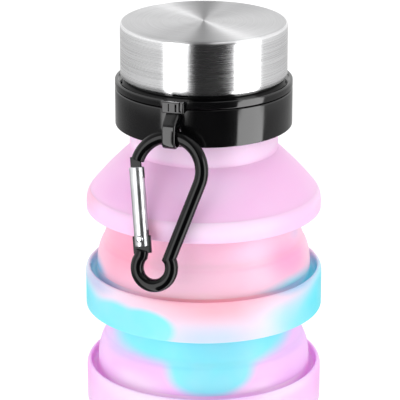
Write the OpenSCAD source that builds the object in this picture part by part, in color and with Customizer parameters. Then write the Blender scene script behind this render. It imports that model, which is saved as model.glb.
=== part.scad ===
// Folding water bottle: a stack of silicone rings that push down into each other,
// with a black screw neck, a steel screw cap and a small spring-gate carabiner.
// Millimetres, +Z up, origin at the centre of the face that the bottle stands on.
// The front of the bottle is -Y. All curves of the body are turned about Z.

/* [Body] */
// Outer radius of the flat-sided rings
ring_r = 37.9; // [36:0.1:40]
// Thickness of the rings' outer wall
wall = 2.1; // [1.6:0.1:2.6]
// Thickness of the thin walls that fold
fold_wall = 1.2; // [0.9:0.1:1.4]
// Height of the base cup
base_h = 22.2; // [18:0.1:28]
// Height of one ring
band_h = 13.2; // [12:0.1:16]
// Height of the waist between two rings when the bottle is open
waist_h = 19.3; // [17:0.1:21]
// Outer radius of the waist, just under a ring
waist_r = 29.9; // [29:0.1:31]
// Outer radius of the dome where it leaves the groove of a ring
dome_r = 34.2; // [33.6:0.1:34.6]
// Height of the rounded ring that the shoulder runs into
shoulder_h = 6.4; // [5:0.1:8]
// Outer radius of that ring
shoulder_r = 37.4; // [36:0.1:39]
// Height of the cone between shoulder ring and neck
cone_h = 13.4; // [11:0.1:16]

/* [Neck] */
// Outer radius of the silicone neck
neck_r = 23.5; // [22.8:0.1:24.2]
// Length of silicone neck that shows under the collar
neck_show = 8.0; // [5:0.1:10]
// Radius of the bore that one drinks from
mouth_r = 19.0; // [17:0.1:20]
// Outer radius of the collar and of the cap's flange
collar_r = 27.95; // [27:0.05:30]
// Height of the collar
collar_h = 12.0; // [11:0.1:15]
// Pitch of the screw thread
thread_pitch = 4.0; // [3.5:0.5:5]
// Turns of screw thread
thread_turns = 1.5; // [1:0.25:1.75]

/* [Cap] */
// Outer radius of the steel cap
cap_r = 26.25; // [25.5:0.05:27]
// Height of the steel cap
cap_h = 16.9; // [16:0.1:20]
// Thickness of the steel sheet
cap_sheet = 0.5; // [0.4:0.1:0.8]
// Radius of the cap's rounded top edge
cap_edge = 1.2; // [0.8:0.1:2]
// Height of the black flange under the steel
flange_h = 2.4; // [2:0.05:3]
// Gap between the flange and the steel
cap_gap = 1.35; // [0.4:0.05:1.8]

/* [Lug] */
// Angle of the lug from the front, clockwise from above
lug_angle = 18; // [0:1:45]
// Width of the strap round the eye
lug_w = 4.2; // [4:0.1:5]
// Radial place of the eye's centre
eye_place = 31.6; // [31.4:0.1:32]
// Radius of the eye
eye_r = 2.6; // [2.5:0.05:2.7]
// Radial reach of the lug
lug_reach = 35.5; // [35:0.1:36]
// Width of the tab over the strap
tab_w = 7.0; // [6.5:0.1:7]

/* [Carabiner] */
// Diameter of the carabiner's rod
rod_d = 4.1; // [3.8:0.1:4.2]
// Radius of the wide top bend, at the rod's centre
top_bend = 10.5; // [10:0.1:11]
// Radius of the small bottom bend, at the rod's centre
hook_bend = 5.5; // [5:0.1:5.8]
// Distance between the centres of the two bends
bend_gap = 29.8; // [29:0.1:31]
// Diameter of the gate
gate_d = 4.6; // [4.4:0.1:4.8]
// Angle that the hanging carabiner leans outward
lean = 16.8; // [14:0.1:18]

/* [Hidden] */
$fn = 96;

tier = band_h + waist_h;
seam = 0.05;                        // gap between pieces that meet but move apart

// Heights of the body, from the base up
lower_z = base_h + waist_h;
middle_z = lower_z + tier;
upper_z = middle_z + tier;
shoulder_z = upper_z + tier;
cone_z = shoulder_z + shoulder_h;
neck_z = cone_z + cone_h;
collar_z = neck_z + neck_show;
collar_top = collar_z + collar_h - 0.05;
flange_z = collar_top + 0.3;
flange_top = flange_z + flange_h;
cap_z = flange_top + cap_gap;
cap_top = cap_z + cap_h;

// Dome between two rings: it folds below the crease and stays stiff above it
crease_h = waist_h / 2 + 0.05;
crease_r = 32.4;
stiff_r = 31.7;

// Lip and groove on top of a ring
lip_r = 0.75;
groove_r = 1.1;
groove_depth = 3.0;
web = 1.8;

// Neck, thread and cap clearances
insert_r = 21.5;
insert_z = collar_z - 6.5;
insert_top = cap_top - 3.5;
thread_crest = 22.9;
nut_bore = 23.3;
nut_crest = 22.0;
thread_base_w = 1.1;                // half width of a thread at its root
thread_crest_w = 0.5;               // half width of a thread at its crest
thread_z = flange_z + 5.5;
thread_slack = 1.6;                 // from the cap's thread up to the neck's
seal_top = cap_top - 2.6;
seal_h = 0.85;

// Lug on the collar
lug_root = collar_r - 0.6;
lug_top = collar_top - 0.2;
lug_corner = 3;                     // radius of the strap's lower corner
tab_reach = 31;
tab_base = collar_top - 0.5;         // inside the strap's top
tab_top = collar_top + 3.0;         // beside the cap's flange
tab_gap = 0.35;                     // from the flange to the tab
tab_foot = 0.6;                     // from the tab's base up to its slots
tab_deep = 1.1;                     // depth of the slots in the tab's outer face
// Slots in the tab's outer face: left edge, width, and height left above
tab_slots = [[-1.45, 0.35, 0.45], [0.7, 0.6, 0.45], [1.95, 0.9, 0]];

// Carabiner in its own plane: X across, Z up, origin at the rod's centre in the eye
rod_r = rod_d / 2;
top_c = [0, -top_bend];
hook_c = [-1.85, -top_bend - bend_gap];
spine_angle = 17.3;                 // of the straight side, from upright
nose_angle = 166;                   // where the top bend ends, from +X
hook_start = 33.7;
hook_end = -215;
gate_angle = 9.8;                   // of the closed gate, from upright
pivot = [-6.65, -32];
gate_up = 22.05;                    // from the pivot to the gate's top
gate_down = 2.4;
tang_t = 1.4;
tang_w = 5.6;
tang_down = 4.4;
tang_up = 1.0;
slot_t = 1.7;
tongue = [3.3, 1.2, 6.2];           // flat end of the nose, across, thick and tall
tongue_down = 3.1;                  // from the gate's top to the tongue's foot
tongue_slot_t = 1.6;
pivot_r = 0.78;
bore_r = 1.3;
latch_down = 1.6;                   // from the gate's top to the latch pin
latch_r = 0.55;
latch_notch = 0.75;                 // half height of the notch for the latch pin
eye_z = collar_top - 7.55;

// Points of an arc in n steps, angles in degrees
function arc(c, r, a0, a1, n = 6) =
    [for (i = [0:n]) let (a = a0 + (a1 - a0) * i / n) [c[0] + r * cos(a), c[1] + r * sin(a)]];

module turned(points) {
    rotate_extrude() polygon(points);
}

// ---------- silicone body ----------

// From the outer wall over the lip, through the groove, to the inside of the wall
function rim(z) = concat(
    [[ring_r, z - 3]],
    arc([ring_r - lip_r, z - lip_r], lip_r, 0, 180),
    arc([dome_r + groove_r, z - groove_depth + groove_r], groove_r, 0, -180),
    [[dome_r, z], [dome_r - fold_wall, z], [dome_r - fold_wall, z - groove_depth - 0.9],
     [ring_r - wall, z - groove_depth - 3.2]]
);

// The stiff upper half of a dome, which hangs from the ring at height z,
// from the inside of the ring's web down to the crease and back up outside
function stiff_half(z) = [
    [waist_r + 0.9, z + web], [waist_r - 1.2, z + web - 0.6], [waist_r - 1.3, z - 0.5],
    [waist_r - 0.9, z - 4.8], [waist_r - 0.1, z - 7.6],
    [stiff_r - 1.4, z - waist_h + crease_h], [stiff_r, z - waist_h + crease_h],
    [stiff_r - 0.6, z - 7.6], [waist_r + 0.5, z - 4.8], [waist_r, z - 1.6],
    [waist_r + 0.25, z - 0.5], [waist_r + 0.8, z]
];

// One ring with the stiff half of the dome below it
module band(z) {
    turned(concat(
        [[ring_r - 0.3, z], [ring_r, z + 0.9]],
        rim(z + band_h),
        [[ring_r - wall, z + web + 0.8], [ring_r - wall - 0.8, z + web]],
        stiff_half(z)
    ));
}

// The thin half of a dome, from a rim at height z up to the crease
module thin_half(z) {
    bottom = z + seam;
    top = z + crease_h - seam;
    turned([
        [dome_r, bottom], [dome_r - 0.15, z + 3], [dome_r - 0.55, z + 5.5],
        [dome_r - 1.1, z + 7.7], [crease_r, top], [crease_r - fold_wall, top],
        [dome_r - fold_wall - 1, z + 7.3], [dome_r - fold_wall - 0.45, z + 5],
        [dome_r - fold_wall - 0.1, z + 2.5], [dome_r - fold_wall, bottom]
    ]);
}

module base_cup() {
    foot = 4;
    floor_t = 3;
    color([0.93, 0.72, 0.88]) difference() {
        turned(concat(
            [[0, 0]],
            arc([ring_r - foot, foot], foot, -90, 0),
            rim(base_h),
            [[ring_r - wall, floor_t + 3]],
            arc([ring_r - wall - 3, floor_t + 3], 3, 0, -90),
            [[0, floor_t]]
        ));
        rotate_extrude() translate([26, 0]) circle(0.8, $fn = 24);
    }
}

module lower_fold_wall() { color([0.94, 0.75, 0.9]) thin_half(base_h); }

module lower_band() { color([0.92, 0.72, 0.92]) band(lower_z); }

module middle_fold_wall() { color([0.95, 0.77, 0.86]) thin_half(lower_z + band_h); }

module middle_band() { color([0.93, 0.7, 0.9]) band(middle_z); }

module upper_fold_wall() { color([0.55, 0.86, 0.94]) thin_half(middle_z + band_h); }

module upper_band() { color([0.5, 0.88, 0.95]) band(upper_z); }

module top_fold_wall() { color([0.98, 0.7, 0.76]) thin_half(upper_z + band_h); }

module shoulder_ring() {
    round_r = 1.7;
    color([0.94, 0.76, 0.93]) turned(concat(
        [[shoulder_r - 0.3, shoulder_z], [shoulder_r, shoulder_z + 0.8]],
        arc([shoulder_r - round_r, cone_z - round_r], round_r, 0, 60),
        [[shoulder_r - 1.3, cone_z], [shoulder_r - wall, cone_z],
         [shoulder_r - wall, shoulder_z + web + 0.8],
         [shoulder_r - wall - 0.8, shoulder_z + web]],
        stiff_half(shoulder_z)
    ));
}

module shoulder_cone() {
    bottom = cone_z + seam;
    top = neck_z - seam;
    foot_r = shoulder_r - 1.25;
    inner = neck_r - 1.9;
    color([0.95, 0.78, 0.93]) turned([
        [foot_r, bottom], [(foot_r + neck_r) / 2 + 0.45, (bottom + top) / 2],
        [neck_r + 0.6, top - 1], [neck_r, top], [inner, top], [inner + 0.3, top - 1.2],
        [(foot_r + neck_r) / 2 - 1.3, (bottom + top) / 2], [foot_r - 1.6, bottom]
    ]);
}

module neck_sleeve() {
    top = collar_top - 2.4;
    color([0.94, 0.77, 0.93]) turned([
        [neck_r, neck_z], [neck_r, top], [insert_r + 0.1, top], [insert_r + 0.1, neck_z]
    ]);
}

// ---------- neck and cap ----------

// A screw ridge from radius r0 at its root to r1 at its crest, rising from z
module ridge(r0, r1, z) {
    steps = round(36 * thread_turns);
    section = [[r0, -thread_base_w], [r1, -thread_crest_w],
               [r1, thread_crest_w], [r0, thread_base_w]];
    points = [for (i = [0:steps]) let (turn = thread_turns * i / steps)
        for (p = section)
            [p[0] * cos(360 * turn), p[0] * sin(360 * turn), z + thread_pitch * turn + p[1]]];
    sides = [for (i = [0:steps - 1]) for (k = [0:3]) let (
        a = 4 * i + k, b = 4 * i + (k + 1) % 4) [a, b, b + 4, a + 4]];
    faces = concat(sides, [[3, 2, 1, 0]], [[for (k = [0:3]) 4 * steps + k]]);
    // A ridge that points inward has its faces the other way round
    polyhedron(points, r1 > r0 ? faces : [for (f = faces) [for (k = [len(f) - 1:-1:0]) f[k]]]);
}

module neck_insert() {
    color([0.1, 0.1, 0.11]) union() {
        difference() {
            union() {
                translate([0, 0, insert_z]) cylinder(h = insert_top - insert_z, r = insert_r);
                translate([0, 0, collar_top + 0.1]) cylinder(h = 0.9, r1 = 22.6, r2 = 22.1);
            }
            translate([0, 0, insert_z - 1])
                cylinder(h = insert_top - insert_z + 2, r = mouth_r);
        }
        ridge(insert_r - 0.25, thread_crest, thread_z);
    }
}

// Outline of the lug, radius across and height up, without its eye
module lug_outline() {
    polygon(concat(
        [[lug_root, lug_top], [collar_r + 0.4, lug_top], [tab_reach, lug_top - 0.1],
         [lug_reach - 2.9, lug_top - 1], [lug_reach - 1.3, lug_top - 2],
         [lug_reach - 0.3, lug_top - 2.9], [lug_reach, lug_top - 3.7]],
        arc([lug_reach - lug_corner, lug_top - 7.8], lug_corner, 0, -90, 5),
        [[lug_root, lug_top - 7.8 - lug_corner]]
    ));
}

module at_lug() {
    rotate([0, 0, -lug_angle]) children();
}

// The tab over the strap, from radius r out to its reach
module tab_block(r) {
    translate([-tab_w / 2, -tab_reach, tab_base])
        cube([tab_w, tab_reach - r, tab_top - tab_base]);
}

// One slot in the tab's outer face; a slot with nothing left above it is open at the top
module tab_slot(s) {
    above = s[2] > 0 ? s[2] : -1;
    translate([s[0], -tab_reach - 1, tab_base + tab_foot])
        cube([s[1], tab_deep + 1, tab_top - above - tab_base - tab_foot]);
}

module collar() {
    flange_t = 2.1;
    edge = 0.5;
    color([0.05, 0.05, 0.055]) difference() {
        union() {
            turned([
                [neck_r + 0.1, collar_z], [collar_r - edge, collar_z],
                [collar_r, collar_z + edge], [collar_r, collar_top - 0.3],
                [collar_r - 0.3, collar_top], [insert_r + 0.2, collar_top],
                [insert_r + 0.2, collar_top - flange_t], [neck_r + 0.1, collar_top - flange_t]
            ]);
            at_lug() rotate([90, 0, -90]) translate([0, 0, -lug_w / 2])
                linear_extrude(lug_w) lug_outline();
            at_lug() tab_block(collar_r + tab_gap);
        }
        at_lug() translate([0, -eye_place, eye_z]) rotate([0, 90, 0])
            cylinder(h = 12, r = eye_r, center = true);
        at_lug() for (s = tab_slots) tab_slot(s);
    }
}

module cap_liner() {
    color([0.06, 0.06, 0.065]) union() {
        turned([
            [nut_bore, flange_z], [collar_r - 0.3, flange_z], [collar_r, flange_z + 0.3],
            [collar_r, flange_top - 0.4], [collar_r - 0.4, flange_top],
            [cap_r - 0.65, flange_top], [cap_r - 0.65, cap_top - 1.8],
            [cap_r - 1.7, cap_top - 0.8], [0, cap_top - 0.8], [0, seal_top],
            [nut_bore, seal_top]
        ]);
        ridge(nut_bore + 0.25, nut_crest, thread_z - thread_slack);
    }
}

module cap_seal() {
    color([0.85, 0.85, 0.83]) turned([
        [mouth_r - 1.5, seal_top - seal_h], [insert_r + 1.3, seal_top - seal_h],
        [insert_r + 1.3, seal_top - seam], [mouth_r - 1.5, seal_top - seam]
    ]);
}

module cap_shell() {
    inner = cap_edge - cap_sheet;
    color([0.78, 0.78, 0.79]) turned(concat(
        [[cap_r - cap_sheet, cap_z], [cap_r, cap_z]],
        arc([cap_r - cap_edge, cap_top - cap_edge], cap_edge, 0, 90),
        [[0, cap_top], [0, cap_top - cap_sheet]],
        arc([cap_r - cap_edge, cap_top - cap_edge], inner, 90, 0)
    ));
}

// ---------- carabiner ----------

// From the carabiner's own plane to its place in the lug's eye
module hung() {
    at_lug() translate([0, -eye_place, eye_z]) rotate([-lean, 0, 0]) children();
}

// A bend of rod in the plane, angles from +X towards +Z
module bend(c, r, a0, a1) {
    translate([c[0], 0, c[1]]) rotate([90, 0, 0]) rotate([0, 0, a0])
        rotate_extrude(angle = a1 - a0) translate([r, 0]) circle(rod_r, $fn = 48);
}

module bar(p, q, r) {
    run = q - p;
    translate([p[0], 0, p[1]]) rotate([0, atan2(run[0], run[1]), 0])
        cylinder(h = norm(run), r = r, $fn = 48);
}

module ball(p, r) {
    translate([p[0], 0, p[1]]) sphere(r, $fn = 48);
}

// Along the closed gate, up from its pivot
module along_gate() {
    translate([pivot[0], 0, pivot[1]]) rotate([0, -gate_angle, 0]) children();
}

spine_top = top_c + top_bend * [cos(spine_angle), -sin(spine_angle)];
spine_dir = [-sin(spine_angle), -cos(spine_angle)];
spine_end = spine_top + 24.8 * spine_dir;
hook_tip = hook_c + hook_bend * [cos(hook_end), sin(hook_end)];
knuckle_r = rod_r + 0.12;

module carabiner_body() {
    neck_top = [pivot[0] + 0.55, pivot[1] - 3.5];
    color([0.05, 0.05, 0.055]) hung() difference() {
        union() {
            bend(top_c, top_bend, -spine_angle, nose_angle);
            ball(spine_top, rod_r + 0.04);
            bar(spine_top + 0.1 * spine_dir, spine_end, rod_r);
            ball(spine_end, knuckle_r);
            bend(hook_c, hook_bend, hook_end, hook_start);
            ball(hook_tip, knuckle_r);
            bar(hook_tip, neck_top, rod_r - 0.05);
            // Tang in the gate's slot
            along_gate() translate([-tang_w / 2, -tang_t / 2, -tang_down])
                cube([tang_w, tang_t, tang_down + tang_up]);
            // Tongue under the nose, which the latch pin hooks behind
            along_gate() translate([-1.75, -tongue[1] / 2, gate_up - tongue_down]) cube(tongue);
        }
        along_gate() rotate([90, 0, 0])
            cylinder(h = 8, r = pivot_r + 0.02, center = true, $fn = 32);
        // Notch for the latch pin, open towards the inside of the loop
        along_gate() translate([-latch_notch, -3, gate_up - latch_down - latch_notch])
            cube([4, 6, 2 * latch_notch]);
    }
}

module gate_pivot() {
    head_r = 1.15;
    color([0.7, 0.7, 0.72]) hung() along_gate() rotate([90, 0, 0]) union() {
        cylinder(h = gate_d + 0.1, r = pivot_r, center = true, $fn = 32);
        for (side = [0, 1]) mirror([0, 0, side]) translate([0, 0, gate_d / 2 + 0.02])
            cylinder(h = 0.3, r1 = head_r, r2 = head_r - 0.3, $fn = 32);
    }
}

module carabiner_gate() {
    color([0.8, 0.8, 0.82]) hung() along_gate() difference() {
        translate([0, 0, -gate_down]) cylinder(h = gate_up + gate_down, r = gate_d / 2, $fn = 64);
        // Slot round the tang
        translate([-4, -slot_t / 2, -gate_down - 1]) cube([8, slot_t, gate_down + 4.5]);
        // Slot round the tongue
        translate([-4, -tongue_slot_t / 2, gate_up - tongue_down - 0.4])
            cube([8, tongue_slot_t, 5]);
        // Room for the spring and plunger
        translate([0, 0, 1]) cylinder(h = 12.5, r = bore_r, $fn = 32);
        rotate([90, 0, 0]) cylinder(h = 8, r = pivot_r + 0.07, center = true, $fn = 32);
        translate([0, 0, gate_up - latch_down]) rotate([90, 0, 0])
            cylinder(h = 8, r = latch_r + 0.01, center = true, $fn = 32);
    }
}

module gate_latch_pin() {
    color([0.7, 0.7, 0.72]) hung() along_gate() translate([0, 0, gate_up - latch_down])
        rotate([90, 0, 0]) cylinder(h = gate_d - 0.3, r = latch_r, center = true, $fn = 32);
}

plunger_z = 1.05;
plunger_h = 3.2;

module gate_plunger() {
    color([0.6, 0.6, 0.62]) hung() along_gate() translate([0, 0, plunger_z])
        cylinder(h = plunger_h, r = 0.9, $fn = 32);
}

module gate_spring() {
    turns = 6;
    steps = 14;
    wire_r = 0.2;
    coil_r = 0.95;
    bottom = plunger_z + plunger_h + wire_r + 0.85;
    top = 13.5 - wire_r - 0.1;
    sides = 6;
    count = turns * steps;
    points = [for (i = [0:count]) let (a = 360 * i / steps, z = bottom + (top - bottom) * i / count)
        for (k = [0:sides - 1]) let (b = 360 * k / sides, r = coil_r + wire_r * cos(b))
            [r * cos(a), r * sin(a), z + wire_r * sin(b)]];
    faces = concat(
        [for (i = [0:count - 1]) for (k = [0:sides - 1]) let (
            a = sides * i + k, b = sides * i + (k + 1) % sides) [a, a + sides, b + sides, b]],
        [[for (k = [0:sides - 1]) k]],
        [[for (k = [sides - 1:-1:0]) sides * count + k]]
    );
    color([0.6, 0.6, 0.62]) hung() along_gate() polyhedron(points, faces);
}

base_cup();
lower_fold_wall();
lower_band();
middle_fold_wall();
middle_band();
upper_fold_wall();
upper_band();
top_fold_wall();
shoulder_ring();
shoulder_cone();
neck_sleeve();
neck_insert();
collar();
cap_liner();
cap_seal();
cap_shell();
carabiner_body();
gate_pivot();
carabiner_gate();
gate_latch_pin();
gate_spring();
gate_plunger();
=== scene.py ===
# Folding silicone water bottle with a black screw collar, a brushed steel cap and a
# small carabiner. Shapes are in millimetres, as in the CAD source, and are scaled to
# metres as they become meshes. Materials, lamps and the camera are in metres.
# Angles round the bottle are degrees from the front (-Y), positive towards +X.
import math

import bmesh
import bpy
import numpy as np
from mathutils import Matrix, Vector


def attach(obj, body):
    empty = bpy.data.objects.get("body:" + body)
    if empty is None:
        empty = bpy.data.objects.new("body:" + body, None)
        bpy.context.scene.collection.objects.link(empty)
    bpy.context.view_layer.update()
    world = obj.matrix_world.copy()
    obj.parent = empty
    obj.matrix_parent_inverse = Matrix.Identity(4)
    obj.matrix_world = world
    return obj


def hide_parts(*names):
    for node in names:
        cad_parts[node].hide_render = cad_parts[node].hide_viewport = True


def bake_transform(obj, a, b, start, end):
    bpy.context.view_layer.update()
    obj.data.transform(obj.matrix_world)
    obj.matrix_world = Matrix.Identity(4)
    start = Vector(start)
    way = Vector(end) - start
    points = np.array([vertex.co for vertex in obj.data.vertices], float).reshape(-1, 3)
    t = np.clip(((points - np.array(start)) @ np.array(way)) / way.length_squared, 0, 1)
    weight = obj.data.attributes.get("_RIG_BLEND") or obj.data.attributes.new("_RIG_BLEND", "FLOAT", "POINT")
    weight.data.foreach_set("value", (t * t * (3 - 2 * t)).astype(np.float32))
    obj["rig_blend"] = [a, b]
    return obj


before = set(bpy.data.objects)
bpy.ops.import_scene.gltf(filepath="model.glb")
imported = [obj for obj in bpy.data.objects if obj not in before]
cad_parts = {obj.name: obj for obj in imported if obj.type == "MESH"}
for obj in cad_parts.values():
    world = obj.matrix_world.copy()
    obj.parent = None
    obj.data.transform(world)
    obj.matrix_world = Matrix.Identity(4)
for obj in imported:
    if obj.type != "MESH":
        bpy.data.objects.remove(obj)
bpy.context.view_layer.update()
MM = 0.001

# ---------------------------------------------------------------- sizes, from the CAD
# silicone rings: outer radius, outer wall, thin folding wall and the web at the foot
RING_R, WALL, FOLD_WALL, WEB = 37.9, 2.1, 1.2, 1.8
BASE_H, BAND_H, WAIST_H = 22.2, 13.2, 19.3
# the dome between two rings: it is thin below its crease and stiff above it
DOME_R, STIFF_R, WAIST_R, CREASE_H = 34.2, 31.7, 29.9, 9.7
GROOVE_R, GROOVE_DEPTH = 1.1, 3.0
# roundings of a ring: the lip's outer and inner side as (across, up), the lower edge,
# the corner inside at the web, and the base cup's foot
LIP_OUT, LIP_IN, EDGE, INNER_R, FOOT_R = (1.0, 2.2), (0.5, 0.8), 0.4, 1.2, 4.0
SHOULDER_R, SHOULDER_H, CONE_H = 37.4, 6.4, 13.4
NECK_R, NECK_SHOW, INSERT_R = 23.5, 8.0, 21.5
COLLAR_R, COLLAR_H, COLLAR_T = 27.95, 12.0, 2.1
CAP_R, CAP_H, CAP_SHEET, CAP_EDGE = 26.25, 16.9, 0.5, 1.2
FLANGE_H, CAP_GAP, NUT_BORE = 2.4, 1.35, 23.3
SEAM, PARTING = 0.05, 0.3  # clearance at the collar's top, and from it up to the flange

# heights, from the base up
TIER = BAND_H + WAIST_H
LOWER_Z = BASE_H + WAIST_H
MIDDLE_Z = LOWER_Z + TIER
UPPER_Z = MIDDLE_Z + TIER
SHOULDER_Z = UPPER_Z + TIER
CONE_Z = SHOULDER_Z + SHOULDER_H
NECK_Z = CONE_Z + CONE_H
COLLAR_Z = NECK_Z + NECK_SHOW
COLLAR_TOP = COLLAR_Z + COLLAR_H - SEAM
FLANGE_Z = COLLAR_TOP + PARTING
FLANGE_TOP = FLANGE_Z + FLANGE_H
CAP_Z = FLANGE_TOP + CAP_GAP
CAP_TOP = CAP_Z + CAP_H

# the lug: its angle, the strap round the eye, and the tab over it with slots in its
# face, each slot as (left edge, right edge, height left above it)
LUG_ANGLE, LUG_W, LUG_REACH, LUG_H = 18.0, 4.2, 35.5, 10.8
LUG_TOP = COLLAR_TOP - 0.2
EYE_PLACE, EYE_R, EYE_Z = 31.6, 2.6, COLLAR_TOP - 7.55
TAB_W, TAB_REACH, TAB_GAP, TAB_FOOT, TAB_DEEP = 7.0, 31.0, 0.35, 0.6, 1.1
TAB_BASE, TAB_TOP = COLLAR_TOP - 0.5, COLLAR_TOP + 3.0
TAB_SLOTS = ((-1.45, -1.1, 0.45), (0.7, 1.3, 0.45), (1.95, 2.85, -1))

# the carabiner in its own plane, X across and Z up, from the rod's centre in the eye
LEAN, ROD_R, TOP_BEND, HOOK_BEND, BEND_GAP = 16.8, 2.05, 10.5, 5.5, 29.8
SPINE_ANGLE, SPINE_RUN, NOSE_ANGLE, HOOK_START, HOOK_END = 17.3, 24.8, 166, 33.7, -215
GATE_R, GATE_UP, GATE_DOWN, GATE_ANGLE = 2.3, 22.05, 2.4, 9.8
PIVOT, PIVOT_R, RIVET_R = (-6.65, -32.0), 0.8, 1.15
# the rod's flat ends inside the gate, the tang at its pivot and the tongue at its top,
# and the gate's slots round them
TANG_W, TANG_T, TANG_DOWN, TANG_UP = 5.6, 1.4, 4.4, 1.0
TONGUE_LEFT, TONGUE_RIGHT, TONGUE_T, TONGUE_HALF = -1.75, 1.55, 1.2, 3.1
TANG_SLOT_T, TANG_SLOT_UP, TONGUE_SLOT_T, THROUGH = 1.7, 2.7, 1.6, 4.0

SEG = 160  # faces round a turned piece of the bottle
ROD_SIDES = 36  # faces round the carabiner's rod
JOIN = 2e-6  # points closer than this, in metres, are merged


# ---------------------------------------------------------------- profile helpers
def oval(c, rx, rz, a0, a1, n):
    """Points of an ellipse's arc round c from angle a0 to a1, in degrees."""
    turn = [math.radians(a0 + (a1 - a0) * i / n) for i in range(n + 1)]
    return [(c[0] + rx * math.cos(t), c[1] + rz * math.sin(t)) for t in turn]


def arc(c, r, a0, a1, n=8):
    """Points of a circle's arc round c from angle a0 to a1, in degrees."""
    return oval(c, r, r, a0, a1, n)


def spline(points, n=6):
    """A smooth curve through the points (Catmull-Rom), n steps between two of them."""
    p = [np.array(q, float) for q in points]
    p = [2 * p[0] - p[1]] + p + [2 * p[-1] - p[-2]]
    out = []
    for i in range(1, len(p) - 2):
        for k in range(n):
            t = k / n
            out.append(tuple(0.5 * (
                2 * p[i] + (p[i + 1] - p[i - 1]) * t
                + (2 * p[i - 1] - 5 * p[i] + 4 * p[i + 1] - p[i + 2]) * t * t
                + (3 * p[i] - p[i - 1] - 3 * p[i + 1] + p[i + 2]) * t ** 3)))
    out.append(tuple(p[-2]))
    return out


def curve(p0, p1, p2, p3, n):
    """A cubic Bezier curve in n steps."""
    out = []
    for i in range(n + 1):
        t = i / n
        w = ((1 - t) ** 3, 3 * t * (1 - t) ** 2, 3 * t * t * (1 - t), t ** 3)
        out.append(tuple(sum(k * p[j] for k, p in zip(w, (p0, p1, p2, p3))) for j in (0, 1)))
    return out


def rounded(points, n=5):
    """A closed polygon whose corners are rounded. Each point is (x, y) or (x, y, radius)."""
    out = []
    count = len(points)
    for i, q in enumerate(points):
        r = q[2] if len(q) > 2 else 0
        here = np.array(q[:2], float)
        if r <= 0:
            out.append((here[0], here[1]))
            continue
        a = np.array(points[i - 1][:2], float) - here
        b = np.array(points[(i + 1) % count][:2], float) - here
        la, lb = np.linalg.norm(a), np.linalg.norm(b)
        a, b = a / la, b / lb
        half = math.acos(max(-1, min(1, float(a @ b)))) / 2
        # the rounding takes at most just under half of either side
        run = min(r / math.tan(half), 0.49 * la, 0.49 * lb)
        for k in range(n + 1):
            t = k / n
            # a quadratic curve from one side to the other is close to the true fillet
            s = here + a * run * (1 - t) ** 2 + b * run * t ** 2
            out.append((float(s[0]), float(s[1])))
    return out


def tidy_line(points):
    """Drops the points of a closed outline that repeat the one before."""
    least = 0.02
    out = [points[0]]
    for q in points[1:]:
        if math.dist(q, out[-1]) > least:
            out.append(q)
    if math.dist(out[0], out[-1]) <= least:
        out.pop()
    return out


# ---------------------------------------------------------------- mesh helpers
def add_object(name, data):
    """A new object in the scene that shows the mesh, lamp or camera data."""
    obj = bpy.data.objects.new(name, data)
    bpy.context.scene.collection.objects.link(obj)
    return obj


def finish_mesh(name, verts, faces, sharp, matrix=None):
    """A mesh object from points in millimetres, smooth but for edges over the angle."""
    if matrix is not None:
        verts = [tuple(matrix @ Vector(v)) for v in verts]
    mesh = bpy.data.meshes.new(name)
    mesh.from_pydata([tuple(c * MM for c in v) for v in verts], [], faces)
    mesh.validate()
    obj = add_object(name, mesh)
    clean(obj, sharp)
    return obj


def clean(obj, sharp):
    """Merges doubled points, turns the faces outward, shades them smooth and stores
    where each point is at rest."""
    bm = bmesh.new()
    bm.from_mesh(obj.data)
    bmesh.ops.remove_doubles(bm, verts=bm.verts, dist=JOIN)
    bmesh.ops.dissolve_degenerate(bm, edges=bm.edges, dist=JOIN / 20)
    bmesh.ops.recalc_face_normals(bm, faces=bm.faces)
    bm.to_mesh(obj.data)
    bm.free()
    obj.data.shade_smooth()
    obj.data.set_sharp_from_angle(angle=math.radians(sharp))
    rest = obj.data.attributes.new("rest", "FLOAT_VECTOR", "POINT")
    co = np.empty(len(obj.data.vertices) * 3, np.float32)
    obj.data.vertices.foreach_get("co", co)
    rest.data.foreach_set("vector", co)


def lathe(name, profile, seg=SEG, sharp=40.0, matrix=None):
    """Turns a closed (radius, height) profile about Z, or about Z of the matrix given."""
    profile = tidy_line(profile)
    verts, faces, ring = [], [], []
    for r, z in profile:
        if r < 1e-6:
            ring.append([len(verts)])
            verts.append((0.0, 0.0, z))
        else:
            ring.append(list(range(len(verts), len(verts) + seg)))
            for k in range(seg):
                a = 2 * math.pi * k / seg
                verts.append((r * math.sin(a), -r * math.cos(a), z))
    n = len(profile)
    for i in range(n):
        a, b = ring[i], ring[(i + 1) % n]
        for k in range(seg):
            j = (k + 1) % seg
            if len(a) == 1 and len(b) == 1:
                continue
            if len(a) == 1:
                faces.append((a[0], b[j], b[k]))
            elif len(b) == 1:
                faces.append((a[k], a[j], b[0]))
            else:
                faces.append((a[k], a[j], b[j], b[k]))
    return finish_mesh(name, verts, faces, sharp, matrix)


def block(name, low, high, edge, matrix):
    """A box from its low to its high corner, with bevelled edges."""
    bm = bmesh.new()
    bmesh.ops.create_cube(bm, size=1.0)
    for v in bm.verts:
        v.co = Vector([low[i] + (v.co[i] + 0.5) * (high[i] - low[i]) for i in range(3)])
    bmesh.ops.bevel(bm, geom=bm.edges[:] + bm.verts[:], offset=edge, segments=3,
                    profile=0.5, affect="EDGES")
    for v in bm.verts:
        v.co = (matrix @ v.co) * MM
    mesh = bpy.data.meshes.new(name)
    bm.to_mesh(mesh)
    bm.free()
    obj = add_object(name, mesh)
    clean(obj, 50)
    return obj


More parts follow.
